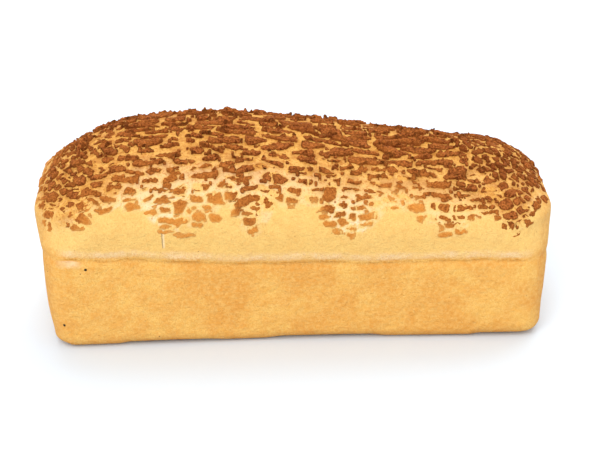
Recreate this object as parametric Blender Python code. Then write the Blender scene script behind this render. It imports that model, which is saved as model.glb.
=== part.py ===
"""A tiger bread tin loaf as one closed solid, in metres, +Z up, the long way along X.

The dough was baked in a long tin: tapered walls, a waist where the tin's rim was, and above it
a swollen crown. A rice paste brushed on the crown has baked into brown plates parted by cracks.
The surface is a stack of rounded rectangles, one for each level of a section, and the plates are
raised on it. The origin is the middle of the flat underside.
"""

import itertools
import math

import bpy
import numpy as np

# The tin's part of the loaf
EDGE_RADIUS = 0.009
BASE_HALF_WIDTH = 0.0560
BASE_HALF_LENGTH = 0.1466
BASE_CORNER = 0.0135
EDGE_CORNER_SHARE = 0.6
WAIST_HEIGHT = 0.0560
WAIST_HALF_WIDTH = 0.0575
WAIST_HALF_LENGTH = 0.1477
WAIST_CORNER = 0.0160
WAIST_GROOVE = 0.0012
WAIST_GROOVE_HEIGHT = 0.0024
WALL_CAVE = 0.0030
CAVE_FULL_HEIGHT = 0.034
# How much the waist rises or falls along X: (station, rise)
WAIST_LINE = (
    (-0.157, 0.0045),
    (-0.125, 0.0042),
    (-0.103, 0.0030),
    (-0.068, -0.0002),
    (-0.040, -0.0018),
    (0.000, -0.0024),
    (0.150, -0.0024),
)
WAIST_LINE_REACH = 0.020

# The crown above it
WIDEST_HEIGHT = 0.0800
WIDEST_HALF_WIDTH = 0.0612
WIDEST_HALF_LENGTH = 0.1526
WIDEST_CORNER_SHARE = 0.65
CROWN_HEIGHT = 0.1128
CROWN_RIDGE_HALF_LENGTH = 0.0985
CROWN_SQUARENESS = 2.4
CROWN_END_FALL = 2.0
CROWN_CORNER_FALL = 7.0

# How much the crown's top line rises or falls along X: (station, rise)
CROWN_LINE = (
    (-0.157, -0.0065),
    (-0.116, 0.0004),
    (-0.056, 0.0045),
    (0.004, 0.0005),
    (0.064, -0.0075),
    (0.108, -0.0122),
    (0.124, -0.0122),
    (0.150, -0.0150),
)
LUMP_SIZE = 0.045
LUMP_HEIGHT = 0.0010

# The baked paste: its lower edge, and the tongues in which it ran down
PASTE_EDGE = 0.0892
PASTE_WANDER = 0.0020
PASTE_WANDER_LENGTH = 0.030
TONGUE_DROP = 0.0150
# (place along the side, half-width) of each tongue, the same list on both long sides
TONGUES = (
    (-0.135, 0.016),
    (-0.066, 0.023),
    (-0.026, 0.013),
    (0.031, 0.019),
    (0.085, 0.015),
    (0.127, 0.013),
)
BACK_TONGUE_SHIFT = 0.017

# Plates, on the widest line and on the ridge: length, width, crack beside them, thickness
PLATE_LENGTH = (0.0086, 0.0240)
PLATE_WIDTH = (0.0054, 0.0098)
CRACK_WIDTH = (0.0023, 0.0030)
PLATE_THICKNESS = (0.0005, 0.0010)
RIDGE_REACH = 0.6
RIM_SLOPE = 0.0009
PLATE_SIZE_SPREAD = 0.20
PLATE_TURN = math.radians(10)
END_ROUNDNESS = 0.8
PLATE_SPACING = 0.78
PLACE_TRIES = 14000
NEIGHBOURS = 6
JOINED_SHARE = 0.03
CORNER_ROUNDING = 0.0005
CRACK_UNEVENNESS = 0.5
CRACK_WAVELENGTH = 0.008
BARE_REACH = 0.010
# (wavelength, reach) of the wander in the plates' outlines
RAGGED = ((0.0065, 0.0010), (0.0028, 0.0010))
SEED = 11

# Mesh
SIDE_POINTS = 216
END_POINTS = 104
ROW_STEP = 0.0011
STRETCH_ROWS = 400
BATCH = 4096
MOST_TRIANGLES = 11400
WELD = 1e-6

# Look of the solid
CRUST_COLOUR = (0.87, 0.52, 0.15)
CRUST_ROUGHNESS = 0.7
SHARP_ANGLE = math.radians(35)


def clear_scene():
    for thing in list(bpy.data.objects):
        bpy.data.objects.remove(thing, do_unlink=True)


def ease(share):
    """From 0 to 1 with a level start and end."""
    share = np.clip(share, 0.0, 1.0)
    return share * share * (3.0 - 2.0 * share)


def between(pair, share):
    return pair[0] + (pair[1] - pair[0]) * share


def smooth_curve(points, at):
    """A cubic curve through the points, its slope at each the mean of the slopes beside it."""
    stations, values = np.array(points).T
    slopes = np.gradient(values, stations)
    at = np.clip(at, stations[0], stations[-1])
    left = np.clip(np.searchsorted(stations, at) - 1, 0, len(stations) - 2)
    span = stations[left + 1] - stations[left]
    u = (at - stations[left]) / span
    rise = values[left + 1] - values[left]
    start, end = slopes[left] * span, slopes[left + 1] * span
    squared = u * u * (3 * rise - 2 * start - end)
    cubed = u**3 * (start + end - 2 * rise)
    return values[left] + u * start + squared + cubed


def lattice_noise(points, wavelength, seed):
    """A smooth random field from -1 to 1: chance values at a lattice's corners, eased between them."""
    scaled = points / wavelength
    cell = np.floor(scaled).astype(np.int64)
    part = scaled - cell
    part = part**3 * (part * (part * 6.0 - 15.0) + 10.0)
    total = np.zeros(points.shape[:-1])
    for corner in itertools.product((0, 1), repeat=3):
        at = cell + np.array(corner)
        mixed = at[..., 0] * 73856093 ^ at[..., 1] * 19349663 ^ at[..., 2] * 83492791 ^ seed * 40503
        mixed = (mixed ^ (mixed >> 13)) * 1274126177 & 0xFFFFFFFF
        value = (mixed ^ (mixed >> 16)) / 0x7FFFFFFF - 1.0
        total += value * np.prod(np.where(corner, part, 1.0 - part), axis=-1)
    return total


def section_rows():
    """Height, half-width, half-length and corner radius of levels, evenly spaced up the section."""
    up = np.linspace(0.0, 1.0, STRETCH_ROWS)
    turn = 0.5 * np.pi * up
    inset = EDGE_RADIUS * (1.0 - np.sin(turn))
    arc = (
        EDGE_RADIUS * (1.0 - np.cos(turn)),
        BASE_HALF_WIDTH - inset,
        BASE_HALF_LENGTH - inset,
        BASE_CORNER - inset * EDGE_CORNER_SHARE,
    )
    wall = (
        between((EDGE_RADIUS, WAIST_HEIGHT), up),
        between((BASE_HALF_WIDTH, WAIST_HALF_WIDTH), up),
        between((BASE_HALF_LENGTH, WAIST_HALF_LENGTH), up),
        between((BASE_CORNER, WAIST_CORNER), up),
    )
    widest_corner = WIDEST_HALF_WIDTH * WIDEST_CORNER_SHARE
    swell = (
        between((WAIST_HEIGHT, WIDEST_HEIGHT), up),
        between((WAIST_HALF_WIDTH, WIDEST_HALF_WIDTH), ease(up)),
        between((WAIST_HALF_LENGTH, WIDEST_HALF_LENGTH), ease(up)),
        between((WAIST_CORNER, widest_corner), ease(up)),
    )
    share = np.cos(turn).clip(0.0) ** (2.0 / CROWN_SQUARENESS)
    rise = np.sin(turn) ** (2.0 / CROWN_SQUARENESS)
    crown = (
        between((WIDEST_HEIGHT, CROWN_HEIGHT), rise),
        WIDEST_HALF_WIDTH * share,
        between((CROWN_RIDGE_HALF_LENGTH, WIDEST_HALF_LENGTH), share**CROWN_END_FALL),
        WIDEST_HALF_WIDTH * share * (1.0 - (1.0 - WIDEST_CORNER_SHARE) * share**CROWN_CORNER_FALL),
    )
    below = [np.stack(stretch, axis=1)[:-1] for stretch in (arc, wall, swell)]
    rows = np.concatenate([*below, np.stack(crown, axis=1)])
    groove = WAIST_GROOVE * np.exp(-(((rows[:, 0] - WAIST_HEIGHT) / WAIST_GROOVE_HEIGHT) ** 2))
    rows[:, 1:3] -= groove[:, None]
    gone = np.concatenate([[0.0], np.cumsum(np.linalg.norm(np.diff(rows[:, :2], axis=0), axis=1))])
    stations = np.linspace(0.0, gone[-1], int(gone[-1] / ROW_STEP))
    return np.stack([np.interp(stations, gone, column) for column in rows.T], axis=1)


def rings(rows):
    """Rounded rectangles in plan, one for each row.

    The first half of a ring runs along the front and round the right end, and the second half is the
    first with x and y negated.
    """
    half_width, half_length, corner = (column[:, None] for column in rows.T[1:])
    step = np.arange(SIDE_POINTS + END_POINTS)[None, :]
    along = np.clip(step / SIDE_POINTS, 0.0, 1.0)
    quarter = 0.5 * np.pi * corner
    end_length = 2.0 * (quarter + half_width - corner)
    gone = np.clip((step - SIDE_POINTS) / END_POINTS, 0.0, 1.0) * end_length
    first = np.minimum(gone, quarter) / np.maximum(corner, WELD)
    last = np.clip(gone - (end_length - quarter), 0.0, quarter) / np.maximum(corner, WELD)
    straight = np.clip(gone - quarter, 0.0, end_length - 2.0 * quarter)
    x = (half_length - corner) * (2.0 * along - 1.0) + corner * (np.sin(first) - (1.0 - np.cos(last)))
    y = -half_width + corner * ((1.0 - np.cos(first)) + np.sin(last)) + straight
    return np.concatenate([x, -x], axis=1), np.concatenate([y, -y], axis=1)


def base_surface(rows):
    """The loaf without its plates: a grid of points, and the level of each in the section."""
    x, y = rings(rows)
    level = np.broadcast_to(rows[:, :1], x.shape)
    crown_share = ease((level - WAIST_HEIGHT) / (CROWN_HEIGHT - WAIST_HEIGHT))
    waist_share = np.exp(-(((level - WAIST_HEIGHT) / WAIST_LINE_REACH) ** 2))
    z = level + smooth_curve(CROWN_LINE, x) * crown_share + smooth_curve(WAIST_LINE, x) * waist_share
    middle = np.cos(0.5 * np.pi * np.clip(x / BASE_HALF_LENGTH, -1.0, 1.0)) ** 2
    below_waist = ease((WIDEST_HEIGHT - level) / (WIDEST_HEIGHT - CAVE_FULL_HEIGHT))
    y = y - np.clip(y / BASE_HALF_WIDTH, -1.0, 1.0) * WALL_CAVE * middle * below_waist
    grid = np.stack([x, y, z], axis=-1)
    lumps = lattice_noise(grid, LUMP_SIZE, SEED) * LUMP_HEIGHT * ease(level / WAIST_HEIGHT)
    return grid + normals(grid) * lumps[..., None], level


def normals(grid):
    """Outward unit normals of a grid whose second index runs once round the loaf."""
    round_it = np.roll(grid, -1, axis=1) - np.roll(grid, 1, axis=1)
    up_it = np.gradient(grid, axis=0)
    out = np.cross(round_it, up_it)
    length = np.linalg.norm(out, axis=-1, keepdims=True)
    return np.where(length > 0.0, out / np.maximum(length, 1e-15), (0.0, 0.0, 1.0))


def paste_depth(grid, level):
    """How far a point is above the paste's lower edge, in metres of height."""
    x, y = grid[..., 0], grid[..., 1]
    place = np.where(y < 0.0, x, BACK_TONGUE_SHIFT - x)
    tongue = np.zeros(x.shape)
    for centre, half_width in TONGUES:
        tongue = np.maximum(tongue, 1.0 - np.abs((place - centre) / half_width) ** 2)
    plan = np.stack([x, y, np.zeros(x.shape)], axis=-1)
    wander = lattice_noise(plan, PASTE_WANDER_LENGTH, SEED + 1) * PASTE_WANDER
    return level - PASTE_EDGE + TONGUE_DROP * tongue + wander


def nearness_to_ridge(level):
    """0 on the widest line and 1 on the ridge, by how far in a level's ring is from the widest."""
    rise = np.clip((level - WIDEST_HEIGHT) / (CROWN_HEIGHT - WIDEST_HEIGHT), 0.0, 1.0)
    inward = 1.0 - (1.0 - rise**CROWN_SQUARENESS) ** (1.0 / CROWN_SQUARENESS)
    return inward**RIDGE_REACH


def scatter_plates(grid, level):
    """Where plates are, their directions over their half sizes, which pairs are joined, which are bare.

    Places are drawn evenly over the crown, and one is kept if it is clear of every earlier plate. A
    place just below the paste's edge is bare crust, and only bounds the plates beside it.
    """
    chance = np.random.default_rng(SEED)
    outward = normals(grid)
    around = np.roll(grid, -1, axis=1) - np.roll(grid, 1, axis=1)
    upward = np.cross(outward, around)
    depth = paste_depth(grid, level)
    area = np.linalg.norm(around, axis=-1) * np.linalg.norm(np.gradient(grid, axis=0), axis=-1)
    area = np.where(depth > -BARE_REACH, area, 0.0).ravel()
    picks = chance.choice(area.size, PLACE_TRIES, p=area / area.sum())
    places = grid.reshape(-1, 3)[picks]
    long_way, cross_way, out_way = (
        vectors.reshape(-1, 3)[picks] for vectors in (around, upward, outward)
    )
    long_way = long_way / np.linalg.norm(long_way, axis=1, keepdims=True)
    cross_way = cross_way / np.linalg.norm(cross_way, axis=1, keepdims=True)
    turn = chance.normal(0.0, PLATE_TURN, PLACE_TRIES)[:, None]
    turned = long_way * np.cos(turn) + cross_way * np.sin(turn)
    crossed = cross_way * np.cos(turn) - long_way * np.sin(turn)
    ridge = nearness_to_ridge(level).ravel()[picks]
    spread = np.exp(chance.normal(0.0, PLATE_SIZE_SPREAD, (PLACE_TRIES, 2)))
    half_length = 0.5 * between(PLATE_LENGTH, ridge) * spread[:, 0]
    half_width = 0.5 * between(PLATE_WIDTH, ridge) * spread[:, 1]
    # Plates on the round ends are about as long as wide
    half_length += (half_width - half_length) * np.abs(long_way[:, 1]) * END_ROUNDNESS
    frames = np.stack([turned, crossed, out_way], axis=1)
    frames /= np.stack([half_length, half_width, half_width], axis=1)[:, :, None]
    kept = [0]
    for i in range(1, PLACE_TRIES):
        steps = places[kept] - places[i]
        mine = np.linalg.norm(steps @ frames[i].T, axis=1)
        theirs = np.linalg.norm(np.einsum("nij,nj->ni", frames[kept], steps), axis=1)
        if (mine + theirs).min() > 4.0 * PLATE_SPACING:
            kept.append(i)
    pairs = chance.random((len(kept), len(kept)))
    joined = np.triu(pairs, 1) + np.triu(pairs, 1).T < JOINED_SHARE
    bare = depth.ravel()[picks][kept] < 0.0
    joined &= bare[:, None] == bare[None, :]
    return places[kept], frames[kept], joined, bare


def plate_inset(points, level, plates):
    """How far a point is inside a plate's rim, in metres along the surface, and negative off the plates.

    A plate holds what is nearer to its place than to any other, nearness being in the plate's own half
    sizes. Its rim is where a neighbour is as near, drawn back by half the crack's width, which wanders,
    and rounded at the corners by a soft minimum over the neighbours.
    """
    places, frames, joined, bare = plates
    wander = lattice_noise(points, CRACK_WAVELENGTH, SEED + 2).ravel()
    half_crack = 0.5 * between(CRACK_WIDTH, nearness_to_ridge(level)).ravel()
    half_crack = half_crack * (1.0 + CRACK_UNEVENNESS * wander)
    flat = points.reshape(-1, 3)
    inset = np.empty(len(flat))
    for start in range(0, len(flat), BATCH):
        some = flat[start : start + BATCH]
        index = np.arange(len(some))[:, None]
        local = np.einsum("nij,vnj->vni", frames, some[:, None, :] - places[None])
        away = np.linalg.norm(local, axis=2)
        near = np.argpartition(away, NEIGHBOURS, axis=1)[:, :NEIGHBOURS]
        near = np.take_along_axis(near, away[index, near].argsort(axis=1), axis=1)
        away = np.maximum(away[index, near], 1e-9)
        slope = np.einsum("vkji,vkj->vki", frames[near], local[index, near]) / away[..., None]
        steepness = np.linalg.norm(slope[:, 1:] - slope[:, :1], axis=2)
        to_edge = (away[:, 1:] - away[:, :1]) / np.maximum(steepness, 1e-9)
        to_edge[joined[near[:, :1], near[:, 1:]]] = np.inf
        softened = np.exp(-to_edge / CORNER_ROUNDING).sum(axis=1)
        to_edge = -CORNER_ROUNDING * np.log(np.maximum(softened, 1e-30))
        side = np.where(bare[near[:, 0]], -1.0, 1.0)
        inset[start : start + BATCH] = side * to_edge - half_crack[start : start + BATCH]
    return inset.reshape(level.shape)


def plate_height(grid, level, plates):
    """How far the baked paste stands above the crust at each point."""
    ragged = grid.copy()
    for step, (wavelength, reach) in enumerate(RAGGED):
        for axis in range(3):
            ragged[..., axis] += reach * lattice_noise(grid, wavelength, SEED + 10 * step + axis)
    thickness = between(PLATE_THICKNESS, nearness_to_ridge(level))
    return thickness * ease(plate_inset(ragged, level, plates) / RIM_SLOPE + 0.5)


def close_top_ring(grid):
    """Bring the front and the back of the last ring together on one line, to be welded there."""
    half = SIDE_POINTS + END_POINTS
    top = grid[-1]
    front = top[: SIDE_POINTS + 1]
    back = top[half : half + SIDE_POINTS + 1][::-1]
    line = 0.5 * (front + back)
    top[: SIDE_POINTS + 1] = line
    top[half : half + SIDE_POINTS + 1] = line[::-1]
    top[SIDE_POINTS:half] = line[-1]
    top[half + SIDE_POINTS :] = line[0]


def grid_mesh(name, grid):
    """A closed mesh of the grid: quads round it, a flat face below, the top ring welded to a line."""
    rows, points = grid.shape[:2]
    index = np.arange(rows * points).reshape(rows, points)
    beside = np.roll(index, -1, axis=1)
    quads = np.stack([index[:-1], beside[:-1], beside[1:], index[1:]], axis=-1).reshape(-1, 4)
    mesh = bpy.data.meshes.new(name)
    mesh.from_pydata(grid.reshape(-1, 3).tolist(), [], quads.tolist() + [index[0, ::-1].tolist()])
    obj = bpy.data.objects.new(name, mesh)
    bpy.context.scene.collection.objects.link(obj)
    weld = obj.modifiers.new("ZipCrown", "WELD")
    weld.merge_threshold = WELD
    return obj


def crust_material(name, colour, roughness):
    material = bpy.data.materials.new(name)
    material.use_nodes = True
    shader = material.node_tree.nodes["Principled BSDF"]
    shader.inputs["Base Color"].default_value = (*colour, 1.0)
    shader.inputs["Roughness"].default_value = roughness
    material.diffuse_color = (*colour, 1.0)
    return material


def build_loaf():
    grid, level = base_surface(section_rows())
    plates = scatter_plates(grid, level)
    relief = np.zeros(level.shape)
    pasted = level[:, 0] > PASTE_EDGE - TONGUE_DROP - BARE_REACH
    relief[pasted] = plate_height(grid[pasted], level[pasted], plates)
    grid = grid + normals(grid) * relief[..., None]
    close_top_ring(grid)
    loaf = grid_mesh("loaf", grid)
    thin = loaf.modifiers.new("FewerFaces", "DECIMATE")
    thin.use_collapse_triangulate = True
    thin.ratio = MOST_TRIANGLES / (2 * grid.shape[0] * grid.shape[1])
    loaf.data.materials.append(crust_material("golden_crust", CRUST_COLOUR, CRUST_ROUGHNESS))
    loaf.data.shade_smooth()
    loaf.data.set_sharp_from_angle(angle=SHARP_ANGLE)
    return loaf


clear_scene()
build_loaf()
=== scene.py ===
"""A whole tiger bread tin loaf on a pale floor: golden crust below, cracked brown paste above."""

import itertools
import math

import bpy
import numpy as np
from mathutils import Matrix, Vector


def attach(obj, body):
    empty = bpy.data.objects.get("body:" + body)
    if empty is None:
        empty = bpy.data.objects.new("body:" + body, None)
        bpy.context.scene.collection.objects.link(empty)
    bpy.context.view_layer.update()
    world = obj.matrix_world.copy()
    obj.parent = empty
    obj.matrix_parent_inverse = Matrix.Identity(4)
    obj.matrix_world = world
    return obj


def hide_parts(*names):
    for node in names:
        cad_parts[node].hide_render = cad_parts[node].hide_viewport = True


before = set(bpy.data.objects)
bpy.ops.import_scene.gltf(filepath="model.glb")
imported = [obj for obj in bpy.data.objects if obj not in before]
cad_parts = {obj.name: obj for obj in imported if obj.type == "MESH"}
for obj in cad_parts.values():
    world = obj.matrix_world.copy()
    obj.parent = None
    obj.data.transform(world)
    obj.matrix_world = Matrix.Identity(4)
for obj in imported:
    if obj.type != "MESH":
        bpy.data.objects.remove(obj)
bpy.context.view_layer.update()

# The crust of the loaf, the whole of the dough's skin.
# It is one piece of dough baked in a long tin: walls that took the tin's taper, a groove where the
# tin's rim pressed, and above the rim a crown that rose freely, higher at one end.

edge_radius = 0.009
base_half_width, base_half_length = 0.0560, 0.1466
base_corner, edge_corner_share = 0.0135, 0.6
waist_height = 0.0560
waist_half_width, waist_half_length, waist_corner = 0.0575, 0.1477, 0.0160
waist_groove, groove_height = 0.0012, 0.0024
wall_cave, cave_full_height = 0.0030, 0.034
# (station along the loaf, how much the waist rises there)
waist_line = (
    (-0.157, 0.0045),
    (-0.125, 0.0042),
    (-0.103, 0.0030),
    (-0.068, -0.0002),
    (-0.040, -0.0018),
    (0.000, -0.0024),
    (0.150, -0.0024),
)
waist_line_reach = 0.020
widest_height = 0.0800
widest_half_width, widest_half_length, widest_corner_share = 0.0612, 0.1526, 0.65
crown_height, ridge_half_length = 0.1128, 0.0985
crown_squareness, crown_end_fall, crown_corner_fall = 2.4, 2.0, 7.0
# (station along the loaf, how much the crown's top line rises there)
crown_line = (
    (-0.157, -0.0065),
    (-0.116, 0.0004),
    (-0.056, 0.0045),
    (0.004, 0.0005),
    (0.064, -0.0075),
    (0.108, -0.0122),
    (0.124, -0.0122),
    (0.150, -0.0150),
)
lump_wavelength, lump_height = 0.045, 0.0010
dough_seed = 11


def ease(share):
    """From 0 to 1 with a level start and end."""
    share = np.clip(share, 0.0, 1.0)
    return share * share * (3.0 - 2.0 * share)


def between(pair, share):
    """The value that lies the given share of the way from the pair's first to its second."""
    return pair[0] + (pair[1] - pair[0]) * share


def smooth_curve(points, at):
    """A cubic curve through the points, its slope at each the mean of the slopes beside it."""
    stations, values = np.array(points).T
    slopes = np.gradient(values, stations)
    at = np.clip(at, stations[0], stations[-1])
    left = np.clip(np.searchsorted(stations, at) - 1, 0, len(stations) - 2)
    span = stations[left + 1] - stations[left]
    u = (at - stations[left]) / span
    rise = values[left + 1] - values[left]
    start, end = slopes[left] * span, slopes[left + 1] * span
    squared = u * u * (3 * rise - 2 * start - end)
    cubed = u**3 * (start + end - 2 * rise)
    return values[left] + u * start + squared + cubed


def lattice_noise(points, wavelength, seed):
    """A smooth random field from -1 to 1: chance values at a lattice's corners, eased between them.

    A corner's value is a hash: its three numbers and the seed times large primes, mixed bit by bit.
    """
    scaled = points / wavelength
    cell = np.floor(scaled).astype(np.int64)
    part = scaled - cell
    part = part**3 * (part * (part * 6.0 - 15.0) + 10.0)
    total = np.zeros(points.shape[:-1])
    for corner in itertools.product((0, 1), repeat=3):
        at = cell + np.array(corner)
        mixed = at[..., 0] * 73856093 ^ at[..., 1] * 19349663 ^ at[..., 2] * 83492791 ^ seed * 40503
        mixed = (mixed ^ (mixed >> 13)) * 1274126177 & 0xFFFFFFFF
        value = (mixed ^ (mixed >> 16)) / 0x7FFFFFFF - 1.0
        weight = 1.0
        for axis, side in enumerate(corner):
            weight = weight * (part[..., axis] if side else 1.0 - part[..., axis])
        total += value * weight
    return total


def section_curve():
    """Height, half-width, half-length and corner radius up the section, and the arc length there.

    A quarter round at the floor, a straight tapered wall, an eased swelling above the waist, and a
    superellipse over the crown, joined, with the waist's groove taken off as a bell curve.
    """
    up = np.linspace(0.0, 1.0, 400)
    turn = 0.5 * np.pi * up
    inset = edge_radius * (1.0 - np.sin(turn))
    arc = (
        edge_radius * (1.0 - np.cos(turn)),
        base_half_width - inset,
        base_half_length - inset,
        base_corner - inset * edge_corner_share,
    )
    wall = (
        between((edge_radius, waist_height), up),
        between((base_half_width, waist_half_width), up),
        between((base_half_length, waist_half_length), up),
        between((base_corner, waist_corner), up),
    )
    swell = (
        between((waist_height, widest_height), up),
        between((waist_half_width, widest_half_width), ease(up)),
        between((waist_half_length, widest_half_length), ease(up)),
        between((waist_corner, widest_half_width * widest_corner_share), ease(up)),
    )
    share = np.cos(turn).clip(0.0) ** (2.0 / crown_squareness)
    rise = np.sin(turn) ** (2.0 / crown_squareness)
    crown = (
        between((widest_height, crown_height), rise),
        widest_half_width * share,
        between((ridge_half_length, widest_half_length), share**crown_end_fall),
        widest_half_width * share * (1.0 - (1.0 - widest_corner_share) * share**crown_corner_fall),
    )
    below = [np.stack(stretch, axis=1)[:-1] for stretch in (arc, wall, swell)]
    rows = np.concatenate([*below, np.stack(crown, axis=1)])
    groove = waist_groove * np.exp(-(((rows[:, 0] - waist_height) / groove_height) ** 2))
    rows[:, 1:3] -= groove[:, None]
    gone = np.concatenate([[0.0], np.cumsum(np.linalg.norm(np.diff(rows[:, :2], axis=0), axis=1))])
    return rows, gone


section, section_arc = section_curve()


def section_rows(start, end, step):
    """The section's values at even steps of arc length from one height to another."""
    start, end = np.interp((start, end), section[:, 0], section_arc)
    stations = np.linspace(start, end, int((end - start) / step))
    return np.stack([np.interp(stations, section_arc, column) for column in section.T], axis=1)


def rings(rows, side_points, end_points):
    """Rounded rectangles in plan, one for each row.

    The first half of a ring runs along the front and round the right end, and the second half is the
    first with x and y negated.
    """
    half_width, half_length, corner = (column[:, None] for column in rows.T[1:])
    step = np.arange(side_points + end_points)[None, :]
    along = np.clip(step / side_points, 0.0, 1.0)
    quarter = 0.5 * np.pi * corner
    end_length = 2.0 * (quarter + half_width - corner)
    gone = np.clip((step - side_points) / end_points, 0.0, 1.0) * end_length
    first = np.minimum(gone, quarter) / np.maximum(corner, 1e-6)
    last = np.clip(gone - (end_length - quarter), 0.0, quarter) / np.maximum(corner, 1e-6)
    straight = np.clip(gone - quarter, 0.0, end_length - 2.0 * quarter)
    x = (half_length - corner) * (2.0 * along - 1.0) + corner * (np.sin(first) - (1.0 - np.cos(last)))
    y = -half_width + corner * ((1.0 - np.cos(first)) + np.sin(last)) + straight
    return np.concatenate([x, -x], axis=1), np.concatenate([y, -y], axis=1)


def normals(grid):
    """Outward unit normals: the way round a ring crossed with the way up the section."""
    round_it = np.roll(grid, -1, axis=1) - np.roll(grid, 1, axis=1)
    out = np.cross(round_it, np.gradient(grid, axis=0))
    length = np.linalg.norm(out, axis=-1, keepdims=True)
    return np.where(length > 0.0, out / np.maximum(length, 1e-15), (0.0, 0.0, 1.0))


def dough_surface(rows, side_points, end_points):
    """The risen dough as a grid of points, and the level of each in the section.

    The rings stand at their levels, the crown follows its top line, the long walls cave in by a
    squared cosine of the length, and slow noise pushes the skin in and out.
    """
    x, y = rings(rows, side_points, end_points)
    level = np.broadcast_to(rows[:, :1], x.shape)
    crown_share = ease((level - waist_height) / (crown_height - waist_height))
    waist_share = np.exp(-(((level - waist_height) / waist_line_reach) ** 2))
    z = level + smooth_curve(crown_line, x) * crown_share + smooth_curve(waist_line, x) * waist_share
    middle = np.cos(0.5 * np.pi * np.clip(x / base_half_length, -1.0, 1.0)) ** 2
    below_waist = ease((widest_height - level) / (widest_height - cave_full_height))
    y = y - np.clip(y / base_half_width, -1.0, 1.0) * wall_cave * middle * below_waist
    grid = np.stack([x, y, z], axis=-1)
    lumps = lattice_noise(grid, lump_wavelength, dough_seed) * lump_height * ease(level / waist_height)
    return grid + normals(grid) * lumps[..., None], level


def close_ridge(grid, side_points, end_points):
    """The number of each grid point, with the last ring's front and back brought to the same points."""
    half = side_points + end_points
    index = np.arange(grid.shape[0] * grid.shape[1]).reshape(grid.shape[:2])
    front = np.arange(side_points + 1)
    back = half + side_points - front
    middle = 0.5 * (grid[-1, front] + grid[-1, back])
    for row, line in ((grid[-1], middle), (index[-1], index[-1, front])):
        row[front] = line
        row[back] = line
        row[side_points:half] = line[-1]
        row[half + side_points :] = line[0]
    return index


# The paste's lower edge, on each long side (place along it, half-width) of a tongue that ran down
paste_edge, tongue_drop = 0.0892, 0.0150
paste_wander, paste_wander_length = 0.0020, 0.030
tongues = (
    (-0.135, 0.016),
    (-0.066, 0.023),
    (-0.026, 0.013),
    (0.031, 0.019),
    (0.085, 0.015),
    (0.127, 0.013),
)
back_tongue_shift = 0.017


def paste_depth(grid, level):
    """How far a point is above the paste's lower edge: a level, let down by a parabola at each tongue."""
    x, y = grid[..., 0], grid[..., 1]
    place = np.where(y < 0.0, x, back_tongue_shift - x)
    tongue = np.zeros(x.shape)
    for centre, half_width in tongues:
        tongue = np.maximum(tongue, 1.0 - np.abs((place - centre) / half_width) ** 2)
    plan = np.stack([x, y, np.zeros(x.shape)], axis=-1)
    wander = lattice_noise(plan, paste_wander_length, dough_seed + 1) * paste_wander
    return level - paste_edge + tongue_drop * tongue + wander


# Plates, on the widest line and on the ridge: length, width, thickness
plate_length, plate_width, plate_thickness = (0.0086, 0.0240), (0.0054, 0.0098), (0.0005, 0.0013)
# (nearness to the ridge, width of the cracks there), narrower round the ends by a share
crack_widths = ((0.0, 0.0009), (0.12, 0.0019), (0.35, 0.0035), (0.70, 0.0037), (1.0, 0.0030))
crack_at_ends, ends_start, ends_reach = 0.46, 0.088, 0.035
ridge_reach = 0.6
plate_size_spread, plate_turn = 0.20, math.radians(10)
end_roundness = 0.8
# Two plates of one size touch where their distance, in half sizes of each, adds up to this, and they
# may lie closer by a share
touching, plate_spacing = 4.0, 0.78
# How many places are tried, how many neighbours bound a plate, and the share of pairs not parted
place_tries, neighbours, joined_share = 14000, 6, 0.03
# The grid's columns are worked on in batches, each with the plates that are within reach of it
batch_columns, search_reach = 24, 1.2 * plate_length[1]
# How round a plate's corners are, and how far below the paste's edge places are still tried
corner_rounding, bare_reach = 0.0007, 0.010
crack_unevenness, crack_wavelength = 0.40, 0.008
# Fine cracks that split the plates, most of them low on the crown: the random field they follow, the
# distance that it stands for, their half-width, and how near the ridge they end
split_wavelength, split_spacing, split_half_width, split_top = 0.0095, 0.0038, 0.00036, 1.05
# A wide crack that runs over the crown: its place along the loaf, half-width and two ends across, and
# how far and how fast it bends
long_crack, long_crack_half_width, long_crack_ends = -0.0625, 0.0021, (-0.034, 0.024)
long_crack_bend, long_crack_bend_length = 0.0030, 0.009
# (wavelength, reach) of the wander in the plates' outlines
ragged = ((0.0065, 0.0007), (0.0028, 0.0004), (0.0013, 0.00055))
# How far below the paste's edge a plate can reach
edge_overhang = 0.004


def nearness_to_ridge(level):
    """0 on the widest line and 1 on the ridge, by how far in from the widest ring a level's ring is."""
    rise = np.clip((level - widest_height) / (crown_height - widest_height), 0.0, 1.0)
    inward = 1.0 - (1.0 - rise**crown_squareness) ** (1.0 / crown_squareness)
    return inward**ridge_reach


def nearness_to_end(x):
    """0 over the middle of the loaf and 1 round its two ends."""
    return ease((np.abs(x) - ends_start) / ends_reach)


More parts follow.
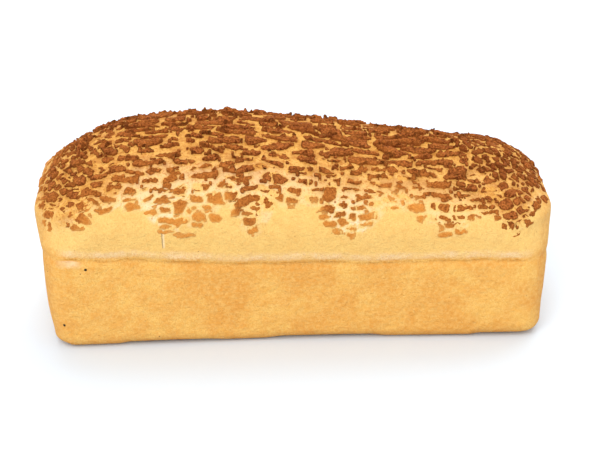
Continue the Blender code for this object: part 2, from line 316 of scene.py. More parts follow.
def scatter_plates(grid, level):
    """Where plates are, their directions over their half sizes, which pairs are joined, which are bare.

    Places are drawn evenly over the crown, and one is kept if it is clear of every earlier plate. A
    place just below the paste's edge is bare crust, and only bounds the plates beside it. A direction
    over its half size turns a step in metres into one in half sizes.
    """
    chance = np.random.default_rng(dough_seed)
    outward = normals(grid)
    around = np.roll(grid, -1, axis=1) - np.roll(grid, 1, axis=1)
    upward = np.cross(outward, around)
    depth = paste_depth(grid, level)
    area = np.linalg.norm(around, axis=-1) * np.linalg.norm(np.gradient(grid, axis=0), axis=-1)
    area = np.where(depth > -bare_reach, area, 0.0).ravel()
    picks = chance.choice(area.size, place_tries, p=area / area.sum())
    places = grid.reshape(-1, 3)[picks]
    long_way, cross_way, out_way = (
        vectors.reshape(-1, 3)[picks] for vectors in (around, upward, outward)
    )
    long_way = long_way / np.linalg.norm(long_way, axis=1, keepdims=True)
    cross_way = cross_way / np.linalg.norm(cross_way, axis=1, keepdims=True)
    turn = chance.normal(0.0, plate_turn, place_tries)[:, None]
    turned = long_way * np.cos(turn) + cross_way * np.sin(turn)
    crossed = cross_way * np.cos(turn) - long_way * np.sin(turn)
    ridge = nearness_to_ridge(level).ravel()[picks]
    spread = np.exp(chance.normal(0.0, plate_size_spread, (place_tries, 2)))
    half_length = 0.5 * between(plate_length, ridge) * spread[:, 0]
    half_width = 0.5 * between(plate_width, ridge) * spread[:, 1]
    # Plates on the round ends are about as long as wide
    half_length += (half_width - half_length) * np.abs(long_way[:, 1]) * end_roundness
    frames = np.stack([turned, crossed, out_way], axis=1)
    frames /= np.stack([half_length, half_width, half_width], axis=1)[:, :, None]
    kept = [0]
    for i in range(1, place_tries):
        steps = places[kept] - places[i]
        mine = np.linalg.norm(steps @ frames[i].T, axis=1)
        theirs = np.linalg.norm(np.einsum("nij,nj->ni", frames[kept], steps), axis=1)
        if (mine + theirs).min() > touching * plate_spacing:
            kept.append(i)
    pairs = chance.random((len(kept), len(kept)))
    joined = np.triu(pairs, 1) + np.triu(pairs, 1).T < joined_share
    bare = depth.ravel()[picks][kept] < 0.0
    joined &= bare[:, None] == bare[None, :]
    return places[kept], frames[kept], joined, bare


def plate_inset(points, level, plates):
    """How far a point is inside a plate's rim, negative off the plates, and the number of that plate.

    A plate holds what is nearer to its place than to any other. Nearness is in the plate's own half
    sizes, as the fourth root of a sum of fourth powers, which makes the plates blunt. A rim is where a
    neighbour is as near, drawn back by half the crack's width, which wanders, and rounded at the
    corners by a soft minimum over the neighbours. The long crack, the paste's edge and the fine cracks,
    which lie where a random field is near 0, cut in as plain minimums.
    """
    places, frames, joined, bare = plates
    wandered = points.copy()
    for step, (wavelength, reach) in enumerate(ragged):
        for axis in range(3):
            seed = dough_seed + 10 * step + axis
            wandered[..., axis] += reach * lattice_noise(points, wavelength, seed)
    opening = 1.0 + crack_unevenness * lattice_noise(wandered, crack_wavelength, dough_seed + 2)
    ridge = nearness_to_ridge(level)
    half_crack = 0.5 * np.interp(ridge, *np.array(crack_widths).T) * opening
    half_crack = half_crack * (1.0 - crack_at_ends * nearness_to_end(points[..., 0]))
    inset = np.empty(level.shape)
    owner = np.empty(level.shape, np.int64)
    for columns in np.array_split(np.arange(level.shape[1]), level.shape[1] // batch_columns):
        some = wandered[:, columns].reshape(-1, 3)
        reach = np.maximum(some.min(axis=0) - places, places - some.max(axis=0)).max(axis=1)
        close = np.flatnonzero(reach < search_reach)
        index = np.arange(len(some))[:, None]
        local = np.einsum("nij,vnj->vni", frames[close], some[:, None, :] - places[close][None])
        away = np.sqrt(np.sqrt(np.square(np.square(local)).sum(axis=2)))
        near = np.argpartition(away, neighbours, axis=1)[:, :neighbours]
        near = np.take_along_axis(near, away[index, near].argsort(axis=1), axis=1)
        away = np.maximum(away[index, near], 1e-9)
        cubed = (local[index, near] / away[..., None]) ** 3
        slope = np.einsum("vkji,vkj->vki", frames[close][near], cubed)
        steepness = np.linalg.norm(slope[:, 1:] - slope[:, :1], axis=2)
        near = close[near]
        to_edge = (away[:, 1:] - away[:, :1]) / np.maximum(steepness, 1e-9)
        to_edge[joined[near[:, :1], near[:, 1:]]] = np.inf
        softened = np.exp(-to_edge / corner_rounding).sum(axis=1)
        to_edge = -corner_rounding * np.log(np.maximum(softened, 1e-30))
        side = np.where(bare[near[:, 0]], -1.0, 1.0)
        shape = (level.shape[0], len(columns))
        inset[:, columns] = (side * to_edge).reshape(shape) - half_crack[:, columns]
        owner[:, columns] = near[:, 0].reshape(shape)
    beyond = np.abs(wandered[..., 1] - np.clip(wandered[..., 1], *long_crack_ends))
    bend = long_crack_bend * np.sin(wandered[..., 1] / long_crack_bend_length)
    from_long_crack = np.hypot(wandered[..., 0] - long_crack - bend, beyond) - long_crack_half_width
    from_paste_edge = paste_depth(points, level) + edge_overhang
    from_fine_crack = np.abs(lattice_noise(wandered, split_wavelength, dough_seed + 4)) * split_spacing
    unsplit = ease((ridge - 0.5 * split_top) / (0.5 * split_top))
    from_fine_crack = from_fine_crack - split_half_width + unsplit * split_spacing
    limits = np.minimum(np.minimum(from_long_crack, from_paste_edge), from_fine_crack)
    return np.minimum(inset, limits), owner


def surface_piece(name, vertices, faces, attributes):
    """A smooth-shaded mesh of triangle or quad numbers, -1 ending a triangle, with point attributes."""
    mesh = bpy.data.meshes.new(name)
    corners = faces.ravel()
    sizes = (faces >= 0).sum(axis=1)
    corners = corners[corners >= 0].astype(np.int32)
    mesh.vertices.add(len(vertices))
    mesh.vertices.foreach_set("co", vertices.astype(np.float32).ravel())
    mesh.loops.add(len(corners))
    mesh.loops.foreach_set("vertex_index", corners)
    mesh.polygons.add(len(faces))
    starts = np.concatenate([[0], np.cumsum(sizes)[:-1]]).astype(np.int32)
    mesh.polygons.foreach_set("loop_start", starts)
    mesh.update(calc_edges=True)
    mesh.validate()
    mesh.shade_smooth()
    for key, values in attributes.items():
        layer = mesh.attributes.new(key, "FLOAT", "POINT")
        layer.data.foreach_set("value", values.astype(np.float32))
    piece = bpy.data.objects.new(name, mesh)
    bpy.context.scene.collection.objects.link(piece)
    return piece


def place_piece(piece, material):
    """Gives a piece its material, and lets it stand for the loaf's solid and move with it."""
    piece.data.materials.append(material)
    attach(piece, "root")
    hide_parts("loaf")


class Field:
    """A socket whose arithmetic adds Math nodes, so that shader sums read as Python expressions."""

    def __init__(self, graph, socket):
        self.graph = graph
        self.socket = socket

    def maths(self, operation, *values):
        """The result of a Math node on the values."""
        return self.graph.node("ShaderNodeMath", {"operation": operation}, dict(enumerate(values)))

    def __add__(self, other):
        return self.maths("ADD", self, other)

    def __sub__(self, other):
        return self.maths("SUBTRACT", self, other)

    def __rsub__(self, other):
        return self.maths("SUBTRACT", other, self)

    def __mul__(self, other):
        return self.maths("MULTIPLY", self, other)

    __radd__ = __add__
    __rmul__ = __mul__

    def eased(self, low, high):
        """0 below low and 1 above high, with a smooth step between."""
        settings = {"interpolation_type": "SMOOTHSTEP"}
        sockets = {"Value": self, "From Min": low, "From Max": high}
        return self.graph.node("ShaderNodeMapRange", settings, sockets)

    def band(self, start, full, fade, stop):
        """0 below start and above stop and 1 from full to fade, with smooth steps between."""
        return self.eased(start, full) * (1 - self.eased(fade, stop))


class Finish:
    """A material being built: its Principled shader, and one method that adds any other node."""

    def __init__(self, name):
        self.material = bpy.data.materials.new(name)
        self.material.use_nodes = True
        self.tree = self.material.node_tree
        self.shader = self.tree.nodes["Principled BSDF"]
        self.place = self.node("ShaderNodeTexCoord", output="Object")

    def node(self, kind, settings=None, sockets=None, output=0):
        """Adds a node of a type, sets its settings, then fills its sockets with values or links."""
        made = self.tree.nodes.new(kind)
        for key, value in (settings or {}).items():
            setattr(made, key, value)
        for key, value in (sockets or {}).items():
            self.fill(made.inputs[key], value)
        return Field(self, made.outputs[output])

    def fill(self, socket, value):
        """Links a field to a socket, or sets the socket to a number, colour or vector."""
        if isinstance(value, Field):
            self.tree.links.new(value.socket, socket)
        elif socket.type == "RGBA" and len(value) == 3:
            socket.default_value = (*value, 1.0)
        else:
            socket.default_value = value

    def noise(self, size, detail=3.0, roughness=0.5):
        """Noise from 0 to 1 with blotches of that size in metres."""
        sockets = {"Vector": self.place, "Scale": 1.0 / size, "Detail": detail, "Roughness": roughness}
        return self.node("ShaderNodeTexNoise", sockets=sockets)

    def mask(self, name):
        """A value painted on the mesh's points."""
        return self.node("ShaderNodeAttribute", {"attribute_name": name}, output="Fac")

    def mix(self, factor, first, second):
        """The second colour over the first, as much as the factor says."""
        made = self.tree.nodes.new("ShaderNodeMix")
        made.data_type = "RGBA"
        colours = [socket for socket in made.inputs if socket.type == "RGBA"]
        self.fill(made.inputs[0], factor)
        self.fill(colours[0], first)
        self.fill(colours[1], second)
        return Field(self, next(socket for socket in made.outputs if socket.type == "RGBA"))

    def bump(self, height, distance, over=None):
        """A bump of the height field, over another bump."""
        sockets = {"Height": height, "Distance": distance}
        if over:
            sockets["Normal"] = over
        return self.node("ShaderNodeBump", sockets=sockets)


# Crust grid, and its fine relief as (wavelength, height on the walls, height between the plates)
crust_side_points, crust_end_points = 330, 210
wall_step, crown_step, groove_reach = 0.0016, 0.00105, 3.0
crust_relief = (
    (0.0180, 0.00030, 0.00030),
    (0.0070, 0.00013, 0.00022),
    (0.0030, 0.00005, 0.00018),
    (0.0016, 0.00002, 0.00012),
)
# Height above the floor by which the relief is whole
relief_full_height = 0.012
# How soon above the paste's lower edge the crust looks as it does between the plates
under_paste_start, under_paste_reach = 0.0004, 0.004
# The crust is hollow in the cracks: by how much, how far in from a rim, and how soon towards the ridge
crack_hollow, hollow_reach, hollow_fade = 0.0003, 0.0008, 3.0
# How much of the groove is lost round the ends, and from where along the loaf
groove_loss, groove_loss_start, groove_loss_reach = 0.7, 0.124, 0.012
crease_wander, crease_wander_length = 0.0010, 0.012
underside_rows = 14
underside_relief, underside_wavelength = 0.00012, 0.005
# How far the foot of the left end is drawn in, and how far the edge of the underside rises in places
foot_draw, foot_draw_height, foot_draw_start = 0.0026, 0.030, 0.120
edge_rise, edge_rise_length, edge_rise_reach = 0.0011, 0.030, 0.012

# The plates' places are drawn on a coarser grid
coarse_step, coarse_side_points, coarse_end_points = 0.0011, 216, 104
coarse_rows = section_rows(0.0, crown_height, coarse_step)
plates = scatter_plates(*dough_surface(coarse_rows, coarse_side_points, coarse_end_points))


def bottom_rows(first_row, count):
    """Rings inside the first one, drawn in evenly to a line, that close the underside."""
    share = np.linspace(0.0, 1.0, count, endpoint=False)[:, None]
    _, half_width, half_length, corner = first_row
    drawn_in = half_width * (1.0 - share)
    tight = np.clip(corner - drawn_in, 0.0, None)
    return np.hstack([np.zeros_like(share), half_width - drawn_in, half_length - drawn_in, tight])


walls_top = waist_height + groove_reach * groove_height
wall_levels = section_rows(0.0, walls_top, wall_step)
crown_levels = section_rows(walls_top, crown_height, crown_step)
rows = np.concatenate([bottom_rows(wall_levels[0], underside_rows), wall_levels, crown_levels[1:]])
grid, level = dough_surface(rows, crust_side_points, crust_end_points)
depth = paste_depth(grid, level)
inset = np.full(level.shape, -bare_reach)
pasted_rows = level[:, 0] > paste_edge - tongue_drop - bare_reach
inset[pasted_rows], _ = plate_inset(grid[pasted_rows], level[pasted_rows], plates)
under_paste = ease((depth - under_paste_start) / under_paste_reach)
ridge = nearness_to_ridge(level)
outward = normals(grid)
relief = np.zeros(level.shape)
for step, (wavelength, on_walls, between_plates) in enumerate(crust_relief):
    field = lattice_noise(grid, wavelength, dough_seed + 40 + step)
    relief += field * between((on_walls, between_plates), under_paste)
relief *= ease(level / relief_full_height)
groove = waist_groove * np.exp(-(((level - waist_height) / groove_height) ** 2))
relief += groove_loss * groove * ease((np.abs(grid[..., 0]) - groove_loss_start) / groove_loss_reach)
relief -= crack_hollow * under_paste * ease(-inset / hollow_reach) * ease(hollow_fade * ridge)
wander = crease_wander * lattice_noise(grid * (1.0, 1.0, 0.0), crease_wander_length, dough_seed + 60)
above_crease = level - waist_height + wander
grid = grid + outward * relief[..., None]
floor_part = np.arange(len(rows)) < underside_rows
unevenness = 1.0 + lattice_noise(grid[floor_part], underside_wavelength, dough_seed + 50)
grid[floor_part, :, 2] = underside_relief * unevenness
# How near each row is to the edge of the underside, from inside it and from the wall
from_edge = np.where(floor_part, wall_levels[0, 1] - rows[:, 1], rows[:, 0])
risen = ease(0.5 + 1.5 * lattice_noise(grid * (1.0, 1.0, 0.0), edge_rise_length, dough_seed + 63))
grid[..., 2] += edge_rise * risen * (1.0 - ease(from_edge / edge_rise_reach))[:, None]
at_left_end = ease((-grid[..., 0] - foot_draw_start) / (base_half_length - foot_draw_start))
drawn_in = (1.0 - ease(level / foot_draw_height)) * ease(level / edge_radius)
grid[..., 0] += foot_draw * drawn_in * at_left_end
index = close_ridge(grid, crust_side_points, crust_end_points)
# The underside's innermost ring meets itself along the middle line
index[0] = close_ridge(grid[:1], crust_side_points, crust_end_points)[0]
beside = np.roll(index, -1, axis=1)
quads = np.stack([index[:-1], beside[:-1], beside[1:], index[1:]], axis=-1)


def without_repeats(faces):
    """Quads whose corners repeat become triangles, -1 standing for the corner that goes, or go."""
    faces = faces.reshape(-1, 4).copy()
    for corner in range(4):
        faces[faces[:, corner] == faces[:, corner - 1], corner] = -1
    faces = faces[(faces >= 0).sum(axis=1) > 2]
    return np.take_along_axis(faces, np.argsort(faces < 0, axis=1, kind="stable"), axis=1)


def used_only(vertices, faces, values):
    """The vertices that faces use, the faces renumbered for them, and the values at them."""
    used = np.unique(faces[faces >= 0])
    number = np.full(len(vertices) + 1, -1)
    number[used] = np.arange(len(used))
    return vertices[used], number[faces], {key: value[used] for key, value in values.items()}


# Where the crust's colours change: how far from a rim a crack has its own colour, the pale patches in
# the cracks, and their gold, from which nearness to the ridge and how far up at the ends
crack_colour_reach = 0.0011
cream_patch_length, cream_limits, cream_loss_at_ends = 0.028, (0.35, 0.82), 0.70
golden_start, golden_reach, golden_at_ends, golden_end_depth = 0.12, 0.45, 0.35, 0.013
# The dark foot, and where the crease, the more orange wall and the painted shade on the ends start or
# stop
foot_height, foot_wander, foot_wander_length = 0.0065, 0.0012, 0.012
crease_end, crease_fade = 0.140, 0.010
orange_start, orange_reach, orange_top, orange_fade = -0.085, 0.030, waist_height + 0.008, 0.02
end_shade_start, end_shade_reach = 0.138, 0.009

in_crack = ease(-inset / crack_colour_reach) * under_paste
at_end = nearness_to_end(grid[..., 0])
cream_patches = ease(0.35 + 1.6 * lattice_noise(grid, cream_patch_length, dough_seed + 61))
gold = ridge + golden_at_ends * at_end * ease(depth / golden_end_depth)
foot = level + foot_wander * lattice_noise(grid, foot_wander_length, dough_seed + 62)
outwards = np.abs(grid[..., 0])
cream_share = between(cream_limits, cream_patches) * (1.0 - cream_loss_at_ends * at_end)
masks = {
    # The dough's paler skin in the wide cracks low on the crown
    "cream": in_crack * cream_share * (1.0 - ridge) ** 2,
    # The deeper gold and orange between the plates near the ridge and round the ends
    "golden": under_paste * ease((gold - golden_start) / golden_reach),
    "pasted": under_paste,
    # The darker foot: toasted where the loaf stood on the tin's base, and partly painted shade there
    "foot": 1.0 - ease(foot / foot_height),
    # Heights above the crease, in millimetres
    "rise": 1000.0 * above_crease,
    "long_side": ease((crease_end - outwards) / crease_fade),
    # The wall under the crease is more orange, except near its left end
    "more_orange": ease((grid[..., 0] - orange_start) / orange_reach) * ease((orange_top - level) / orange_fade),
    # Painted shade on the loaf's two ends, darker and more orange
    "end": ease((outwards - end_shade_start) / end_shade_reach),
}
masks = {key: value.ravel() for key, value in masks.items()}

crust = Finish("golden_crust")
wall_orange = (0.70, 0.288, 0.046)
wall_yellow = (0.82, 0.472, 0.115)
pale_gold = (0.91, 0.620, 0.215)
cream = (0.92, 0.755, 0.50)
crack_gold = (0.81, 0.430, 0.092)
crack_orange = (0.48, 0.165, 0.019)
end_shade_orange = (0.62, 0.255, 0.042)
crease_shade_brown = (0.54, 0.215, 0.030)
foot_orange_and_shade = (0.52, 0.200, 0.030)
speck_brown = (0.42, 0.15, 0.03)
crumb_brown = (0.50, 0.155, 0.020)
split_shade_grey = (0.30, 0.20, 0.12)
burnt_black, burnt_brown = (0.02, 0.01, 0.004), (0.30, 0.12, 0.03)
blotches = crust.noise(0.030, 2.0).eased(0.38, 0.66)
patches = crust.noise(0.0085, 3.0).eased(0.36, 0.68)
mottle = crust.noise(0.0022, 4.0, roughness=0.65).eased(0.34, 0.68)
fine = crust.noise(0.0008, 2.0).eased(0.30, 0.72)
colour = crust.mix(blotches * (0.35 + crust.mask("more_orange") * 0.35), wall_yellow, wall_orange)
colour = crust.mix(patches * 0.55, colour, wall_orange)
# The crease with the pale ledge over it and the browner wall under it, by the height in millimetres
rise = crust.mask("rise") + (mottle - 0.5) * 0.9
long_side = crust.mask("long_side")
pale_ledge_and_highlight = rise.band(1.0, 3.6, 5.0, 9.0) * long_side
under_crease = rise.band(-7.0, -2.0, -0.8, 0.0)
crease = rise.band(-0.9, -0.1, 0.1, 0.9) * long_side * (0.45 + patches * 0.55)
colour = crust.mix(rise.eased(0.0, 9.0) * (0.45 + blotches * 0.15), colour, pale_gold)
# Painted shade on the ends
colour = crust.mix(crust.mask("end") * 0.55, colour, end_shade_orange)
# The pale band over the crease: paler stretched crust, and partly a painted highlight
colour = crust.mix(pale_ledge_and_highlight * (0.26 + patches * 0.32), colour, cream)
colour = crust.mix(under_crease * blotches * 0.6, colour, wall_orange)
# The crease's line is painted shade in the groove, darker in patches
colour = crust.mix(crease * 0.75, colour, crease_shade_brown)
# The foot: toasted crust, and painted shade
colour = crust.mix(crust.mask("foot") * (0.70 + patches * 0.30), colour, foot_orange_and_shade)
colour = crust.mix(mottle * 0.42, colour, pale_gold)
colour = crust.mix(fine * (0.50 - rise.eased(3.0, 9.0) * 0.24), colour, wall_orange)
# The skin between the plates
toast = patches * 0.50 + mottle * 0.38 + fine * 0.12
colour = crust.mix(crust.mask("golden"), colour, crust.mix(toast, crack_gold, crack_orange))
colour = crust.mix(crust.mask("cream") * (1 - mottle * 0.25), colour, cream)
specks = crust.noise(0.0017, 1.0).eased(0.74, 0.80)
colour = crust.mix(specks * 0.45, colour, speck_brown)
# Crumbs of paste in the cracks
crumbs = crust.noise(0.0013, 2.0).eased(0.56, 0.65) * crust.mask("pasted")
colour = crust.mix(crumbs * (0.25 + crust.mask("golden") * 0.45), colour, crumb_brown)
axes = {
    axis: crust.node("ShaderNodeSeparateXYZ", sockets={"Vector": crust.place}, output=axis)
    for axis in "XYZ"
}
on_front = 1 - axes["Y"].eased(-0.05, -0.045)
# A pale scuff under the crease near the left end
scuff = axes["X"].band(-0.1405, -0.1360, -0.1290, -0.1220) * rise.band(-6.0, -3.0, -1.6, -0.5)
scuff = scuff * on_front * (0.4 + patches * 0.6)
colour = crust.mix(scuff * 0.50, colour, cream)
# A fine upright split in the front of the bulge, drawn as a grey line of painted shade, with a pale lip
# beside it
split_x, split_wander, split_wander_length = -0.0776, 0.0012, 0.004
split_run = axes["Z"].band(0.0665, 0.0685, 0.0795, 0.0815) * on_front
sideways = axes["X"] - split_x + (crust.noise(split_wander_length) - 0.5) * split_wander
split = sideways.band(-0.0005, -0.0002, 0.0002, 0.0005) * split_run
pale_lip = sideways.band(0.0, 0.0006, 0.0008, 0.0018) * split_run
colour = crust.mix(pale_lip * 0.5, colour, cream)
colour = crust.mix(split * 0.70, colour, split_shade_grey)
# (place, radius, colour) of single burnt crumbs on the front wall
crumbs_on_wall = (
    ((-0.1223, -0.0578, 0.0544), 0.0011, burnt_black),
    ((-0.1373, -0.0556, 0.0168), 0.0012, burnt_black),
    ((-0.1253, -0.0578, 0.0518), 0.0005, burnt_brown),
    ((-0.1450, -0.0513, 0.0506), 0.0005, burnt_brown),
    ((-0.1427, -0.0523, 0.0180), 0.0005, burnt_brown),
    ((-0.0574, -0.0576, 0.0643), 0.0005, burnt_brown),
    ((-0.0820, -0.0545, 0.0070), 0.0006, burnt_brown),
)
for place, radius, tint in crumbs_on_wall:
    sockets = {0: crust.place, 1: place}
    away = crust.node("ShaderNodeVectorMath", {"operation": "DISTANCE"}, sockets, output="Value")
    colour = crust.mix(1 - away.eased(0.55 * radius, radius), colour, tint)
crust.fill(crust.shader.inputs["Base Color"], colour)
crust.fill(crust.shader.inputs["Roughness"], 0.66 + mottle * 0.12)
crust.shader.inputs["Specular IOR Level"].default_value = 0.15
skin = crust.bump(crust.noise(0.0042, 5.0, roughness=0.62), 0.0018)
skin = crust.bump(crust.noise(0.0010, 3.0, roughness=0.6), 0.0006, skin)
skin = crust.bump(1 - crease, 0.0003, skin)
crust.fill(crust.shader.inputs["Normal"], skin)

wall_rows = underside_rows + len(wall_levels) - 1
crust_parts = {"loaf_walls": quads[:wall_rows], "loaf_crown": quads[wall_rows:]}
for name, part in crust_parts.items():
    piece_mesh = used_only(grid.reshape(-1, 3), without_repeats(part), masks)
    place_piece(surface_piece(name, *piece_mesh), crust.material)

# The baked paste on the crown, in several hundred plates.
# Rice paste was brushed on the risen dough. It dried and cracked into plates as the dough swelled,
# and the plates baked brown, thick on the crown and thin and orange where it ran down the sides.

plate_side_points, plate_end_points, plate_row_step = 640, 420, 0.00041
# How much of its thickness a plate has at its rim, down the sides and on the ridge
rim_share, rim_width = (0.25, 0.40), 0.0019
# How far a plate's walls run down into the crust
sunk = 0.0006
# (wavelength, share of the thickness, height) of the relief on the plates
plate_relief = ((0.0090, 0.30, 0.0), (0.0034, 0.10, 0.00016), (0.0015, 0.05, 0.00030))
# How much of the finest relief shows down the sides and on the ridge
grain_share = (0.4, 1.0)
# Round the ends the plates stand nearly as proud as on the crown: by what share, and how soon
proud_at_ends, proud_gain = 0.8, 3.0
# Each plate is tilted a little: its slope, how soon towards the ridge, and how far an edge goes up
# and down
lifted_edge, lift_gain, most_lift, most_drop = 0.16, 1.5, 0.0016, 0.0003
# How much one plate differs from the next in thickness, its least and most, and the thinnest of all
thickness_spread, thickness_limits, thinnest = 0.40, (0.6, 2.4), 0.00015
# Rims curl up in places: the random field that says where, how high and how far in from the rim, and
# how soon towards the ridge
curl_wavelength, curl_gain, curl_level = 0.0031, 1.5, 0.3
most_curl, curl_width, curl_ridge_gain = 0.0022, 0.0013, 1.6
# Small scraps lie in the wide cracks, where a random field is over a level, clear of the plates
fragment_wavelength, fragment_level, fragment_reach = 0.0026, 0.54, 0.0024
fragment_clear, fragment_above_edge = 0.00040, 0.001
# Plates are left out if they are nowhere this far from a rim and begin this near the paste's edge
thinnest_low_plate, sliver_reach = 0.00075, 0.004
# How well baked the plates are on the widest line, and what the ridge, chance and place add to it
least_baked, baked_by_ridge, baked_by_chance = 0.32, 0.66, 0.04
baked_by_place, bake_wavelength = 0.10, 0.02
# Where the thin paste stayed orange and where it browned: the share of its bake that is left at the
# paste's edge, and how far up from there it is whole
edge_bake, edge_bake_reach = (0.12, 0.68), (0.021, 0.010)
# What browned paste has more, at its edge and further up, and what is added towards the right end,
# darkening its plates
browned_extra, browned_extra_reach = (0.02, 0.27), 0.020
right_end_extra, right_end_start, right_end_reach = 0.36, 0.080, 0.050
# (station along the loaf, how much of the thin paste there stayed orange)
orange_line = (
    (-0.120, 0.0),
    (-0.092, 0.70),
    (-0.070, 1.0),
    (-0.048, 0.95),
    (-0.028, 0.20),
    (-0.005, 0.10),
    (0.020, 0.45),
    (0.045, 1.0),
    (0.080, 0.80),
    (0.120, 0.0),
)

rows = section_rows(paste_edge - tongue_drop - bare_reach, crown_height, plate_row_step)
grid, level = dough_surface(rows, plate_side_points, plate_end_points)
inset, owner = plate_inset(grid, level, plates)
fragments = lattice_noise(grid, fragment_wavelength, dough_seed + 70) - fragment_level
fragments = np.minimum(fragments * fragment_reach, -inset - fragment_clear)
fragments = np.minimum(fragments, paste_depth(grid, level) - fragment_above_edge)
inset = np.maximum(inset, fragments)
outward = normals(grid).reshape(-1, 3)
index = close_ridge(grid, plate_side_points, plate_end_points)
beside = np.roll(index, -1, axis=1)
lower = np.stack([index[:-1], beside[:-1], beside[1:]], axis=-1).reshape(-1, 3)
upper = np.stack([index[:-1], beside[1:], index[1:]], axis=-1).reshape(-1, 3)
triangles = np.concatenate([lower, upper])
apart = (triangles[:, 0] != triangles[:, 1]) & (triangles[:, 1] != triangles[:, 2])
triangles = triangles[apart & (triangles[:, 2] != triangles[:, 0])]


def snap_to_rim(points, inset, triangles):
    """Moves each point beside a rim along its nearest crossing edge onto the rim, where inset is 0.

    On an edge whose ends are on two sides of the rim, the crossing lies the share a / (a - b) along,
    for insets a and b. The end that is nearer moves there, so no triangle then crosses the rim.
    """
    starts = triangles[:, [0, 1, 2, 1, 2, 0]].ravel()
    ends = triangles[:, [1, 2, 0, 0, 1, 2]].ravel()
    crossing = inset[starts] * inset[ends] < 0.0
    starts, ends = starts[crossing], ends[crossing]
    share = inset[starts] / (inset[starts] - inset[ends])
    order = np.lexsort((share, starts))
    _, first = np.unique(starts[order], return_index=True)
    chosen = order[first]
    chosen = chosen[share[chosen] <= 0.5]
    moved, snapped = points.copy(), inset.copy()
    start, end = starts[chosen], ends[chosen]
    moved[start] += share[chosen, None] * (points[end] - points[start])
    snapped[start] = 0.0
    return moved, snapped


points, snapped = snap_to_rim(grid.reshape(-1, 3), inset.ravel(), triangles)
inside = (snapped[triangles] >= 0.0).all(axis=1) & (inset.ravel()[triangles].mean(axis=1) > 0.0)
triangles = triangles[inside]
level, owner = level.ravel(), owner.ravel()
ridge = nearness_to_ridge(level)
places = plates[0]
chance = np.random.default_rng(dough_seed + 80)
plate_tone = chance.normal(0.0, 1.0, len(places))[owner]
swell = np.exp(chance.normal(0.1, thickness_spread, len(places))).clip(*thickness_limits)[owner]
proud = np.maximum(ridge, proud_at_ends * nearness_to_end(points[:, 0]) * ease(proud_gain * ridge))
slope = chance.normal(0.0, lifted_edge, (len(places), 3))[owner]
lift = ((points - places[owner]) * slope).sum(axis=1) * ease(lift_gain * proud)
grain = np.zeros(len(points))
for step, (wavelength, share, grain_height) in enumerate(plate_relief):
    field = lattice_noise(points, wavelength, dough_seed + 90 + step)
    swell = swell + share * field
    grain += grain_height * field
from_rim = ease(snapped / rim_width)
curl = curl_gain * lattice_noise(points, curl_wavelength, dough_seed + 95) - curl_level
curl = curl.clip(0.0, 1.0) * most_curl * ease(curl_ridge_gain * ridge)
curl *= 1.0 - ease(snapped / curl_width)
thickness = between(plate_thickness, proud) * swell + np.clip(lift, -most_drop, most_lift)
at_rim = between(rim_share, proud)
height = thickness * (at_rim + (1.0 - at_rim) * from_rim) + grain * between(grain_share, proud) + curl
height = np.maximum(height, thinnest)
bake = least_baked + baked_by_ridge * ridge + baked_by_chance * plate_tone
bake += baked_by_place * lattice_noise(points, bake_wavelength, dough_seed + 99)
# Low on the long sides the paste is thinnest and stays orange in places
edge_depth = paste_depth(points, level)
browned = 1.0 - smooth_curve(orange_line, points[:, 0]).clip(0.0, 1.0)
left_at_edge = between(edge_bake, browned)
bake *= left_at_edge + (1.0 - left_at_edge) * ease(edge_depth / between(edge_bake_reach, browned))
bake += browned * between(browned_extra, ease(edge_depth / browned_extra_reach))
bake += right_end_extra * ease((points[:, 0] - right_end_start) / right_end_reach)

# Walls from the rims down into the crust
edges = triangles[:, [0, 1, 1, 2, 2, 0]].reshape(-1, 2)
codes = edges[:, 0] * len(points) + edges[:, 1]
back_codes = edges[:, 1] * len(points) + edges[:, 0]
start, end = edges[~np.isin(codes, back_codes)].T
walls = np.stack([end, start, start + len(points), end + len(points)], axis=1)
tops = np.hstack([triangles, np.full((len(triangles), 1), -1)])
faces = np.concatenate([tops, walls])
vertices = np.concatenate([points + outward * height[:, None], points - outward * sunk])
values = {
    "bake": np.concatenate([bake, bake]).clip(0.0, 1.5),
    # The way in from the rim, in millimetres
    "inward": 1000.0 * np.concatenate([snapped.clip(0.0, 0.004), np.zeros(len(points))]),
    "grain": np.concatenate([grain, grain]) / plate_relief[-1][2],
    "curl": np.concatenate([curl, curl]) / most_curl,
}


def connected(faces, count):
    """For each vertex the lowest vertex number that faces join it to, by spreading the lowest number."""
    label = np.arange(count + 1)
    faces = np.where(faces < 0, faces[:, :1], faces)
    while True:
        lowest = label[faces].min(axis=1)
        before = label.copy()
        for corner in faces.T:
            np.minimum.at(label, corner, lowest)
        label = label[label]
        if (label == before).all():
            return label


# A plate's number is that of its lowest point. Slivers near the paste's edge are left out
label = connected(faces, len(vertices))
number = label[faces[:, 0]]
deepest = np.zeros(len(label))
np.maximum.at(deepest, label[: len(points)], snapped)
kept = (deepest[number] > thinnest_low_plate) | (edge_depth[number] > sliver_reach)
faces, number = faces[kept], number[kept]
home = vertices[number]
end_plates = 0.092
left, right, front = home[:, 0] < -end_plates, home[:, 0] > end_plates, home[:, 1] < 0.0
middle, left_half = ~left & ~right, home[:, 0] < 0.0
plate_groups = {
    "paste_left_end": left,
    "paste_right_end": right,
    "paste_front_left": middle & front & left_half,
    "paste_front_right": middle & front & ~left_half,
    "paste_back_left": middle & ~front & left_half,
    "paste_back_right": middle & ~front & ~left_half,
}

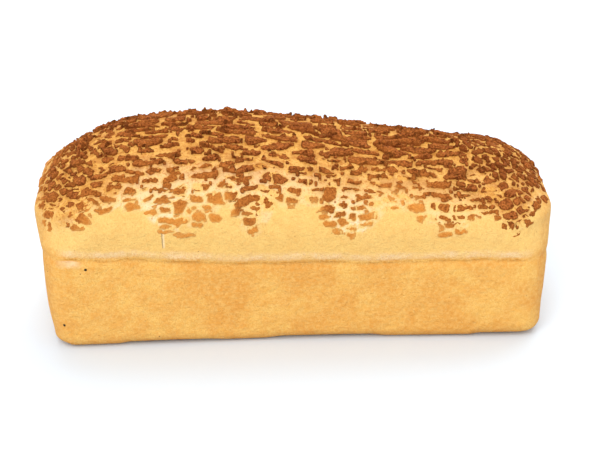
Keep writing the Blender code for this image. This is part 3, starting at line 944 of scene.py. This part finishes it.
# Crumbs and clouds of brown, darker and richer the better baked, over thin paste that stayed orange
paste = Finish("baked_paste")
char_and_shade_brown = (0.085, 0.020, 0.0036)
dark_brown = (0.130, 0.028, 0.0045)
brown = (0.580, 0.168, 0.0390)
mid_brown = (0.330, 0.082, 0.0130)
deep_brown = (0.270, 0.066, 0.0130)
light_brown = (0.650, 0.215, 0.0400)
low_brown = (0.800, 0.262, 0.0420)
low_orange = (0.900, 0.375, 0.0760)
rim_gold = (0.900, 0.500, 0.1500)
bake_mask = paste.mask("bake")
crumb_noise = paste.noise(0.0012, 3.0, roughness=0.65)
inward = paste.mask("inward") + (crumb_noise - 0.5) * 1.6
crumbs = (crumb_noise + paste.mask("grain") * 0.05).eased(0.34, 0.66)
clouds = paste.noise(0.0050, 3.0).eased(0.36, 0.66)
lightly_baked = paste.mix(crumbs, mid_brown, light_brown)
baked = paste.mix(bake_mask.eased(0.45, 0.90), lightly_baked, paste.mix(crumbs, dark_brown, brown))
baked = paste.mix(clouds * 0.35, baked, light_brown)
baked = paste.mix(bake_mask.eased(1.02, 1.35) * 0.60, baked, deep_brown)
thin = paste.mix(crumbs * 0.6 + clouds * 0.3, low_brown, low_orange)
colour = paste.mix(bake_mask.eased(0.14, 0.50), thin, baked)
# Lightly baked plates are thin and golden at the rim, well baked ones are darkest just inside it
rim = 1 - inward.eased(0.0, 0.8)
colour = paste.mix(rim * (1 - bake_mask.eased(0.15, 0.60)) * 0.50, colour, rim_gold)
colour = paste.mix(rim * crumbs * bake_mask.eased(0.50, 0.85) * 0.55, colour, dark_brown)
# Curled rims are darker: partly charred paste, partly painted shade on the raised flakes
colour = paste.mix(paste.mask("curl").eased(0.1, 1.0) * 0.24, colour, char_and_shade_brown)
paste.fill(paste.shader.inputs["Base Color"], colour)
paste.fill(paste.shader.inputs["Roughness"], 0.78 - crumbs * 0.14)
paste.shader.inputs["Specular IOR Level"].default_value = 0.03
crumbly = paste.bump(paste.noise(0.0022, 5.0, roughness=0.72), 0.0030)
paste.fill(paste.shader.inputs["Normal"], crumbly)

for name, here in plate_groups.items():
    place_piece(surface_piece(name, *used_only(vertices, faces[here], values)), paste.material)

# The floor, plain and pale.
floor_half_size = 6.0
floor_colour = (0.698, 0.77, 0.845)
floor_mesh = bpy.data.meshes.new("floor")
corners = np.array([(-1, -1, 0), (1, -1, 0), (1, 1, 0), (-1, 1, 0)]) * floor_half_size
floor_mesh.from_pydata(corners.tolist(), [], [(0, 1, 2, 3)])
floor = bpy.data.objects.new("floor", floor_mesh)
bpy.context.scene.collection.objects.link(floor)
ground = Finish("pale_floor")
ground.fill(ground.shader.inputs["Base Color"], floor_colour)
ground.shader.inputs["Roughness"].default_value = 0.9
floor_mesh.materials.append(ground.material)

# Soft studio light: an even sky, a broad key light above the camera, and one high behind the loaf.
sky = bpy.data.worlds.new("studio")
sky.use_nodes = True
backdrop = sky.node_tree.nodes["Background"]
backdrop.inputs["Color"].default_value = (1.0, 1.0, 1.0, 1.0)
backdrop.inputs["Strength"].default_value = 0.84
bpy.context.scene.world = sky
bpy.context.scene.view_settings.view_transform = "Standard"
# (name, height and turn that it shines from, from the front round to the right, strength)
lights = (
    ("key_light", math.radians(45.0), math.radians(-20.0), 1.9),
    ("top_light", math.radians(58.0), math.radians(165.0), 1.30),
)
light_spread = math.radians(50.0)


def direction(height, turn):
    """The unit vector from the front, turned to the right about the vertical and then raised."""
    flat = math.cos(height)
    return Vector((math.sin(turn) * flat, -math.cos(turn) * flat, math.sin(height)))


for name, height, turn, strength in lights:
    lamp = bpy.data.lights.new(name, "SUN")
    lamp.angle = light_spread
    lamp.energy = strength
    light = bpy.data.objects.new(name, lamp)
    light.rotation_euler = direction(height, turn).to_track_quat("Z", "Y").to_euler()
    bpy.context.scene.collection.objects.link(light)

# The camera, a long lens a little to the left of the loaf's middle, looking down on it.
camera_height, camera_turn = math.radians(26.0), math.radians(-3.0)
camera_distance, lens, sensor_width = 0.92, 90.0, 36.0
target = Vector((0.0040, 0.0, 0.0517))
camera_data = bpy.data.cameras.new("camera")
camera_data.lens = lens
camera_data.sensor_width = sensor_width
camera = bpy.data.objects.new("camera", camera_data)
backwards = direction(camera_height, camera_turn)
camera.location = target + backwards * camera_distance
camera.rotation_euler = backwards.to_track_quat("Z", "Y").to_euler()
bpy.context.scene.collection.objects.link(camera)
bpy.context.scene.camera = camera
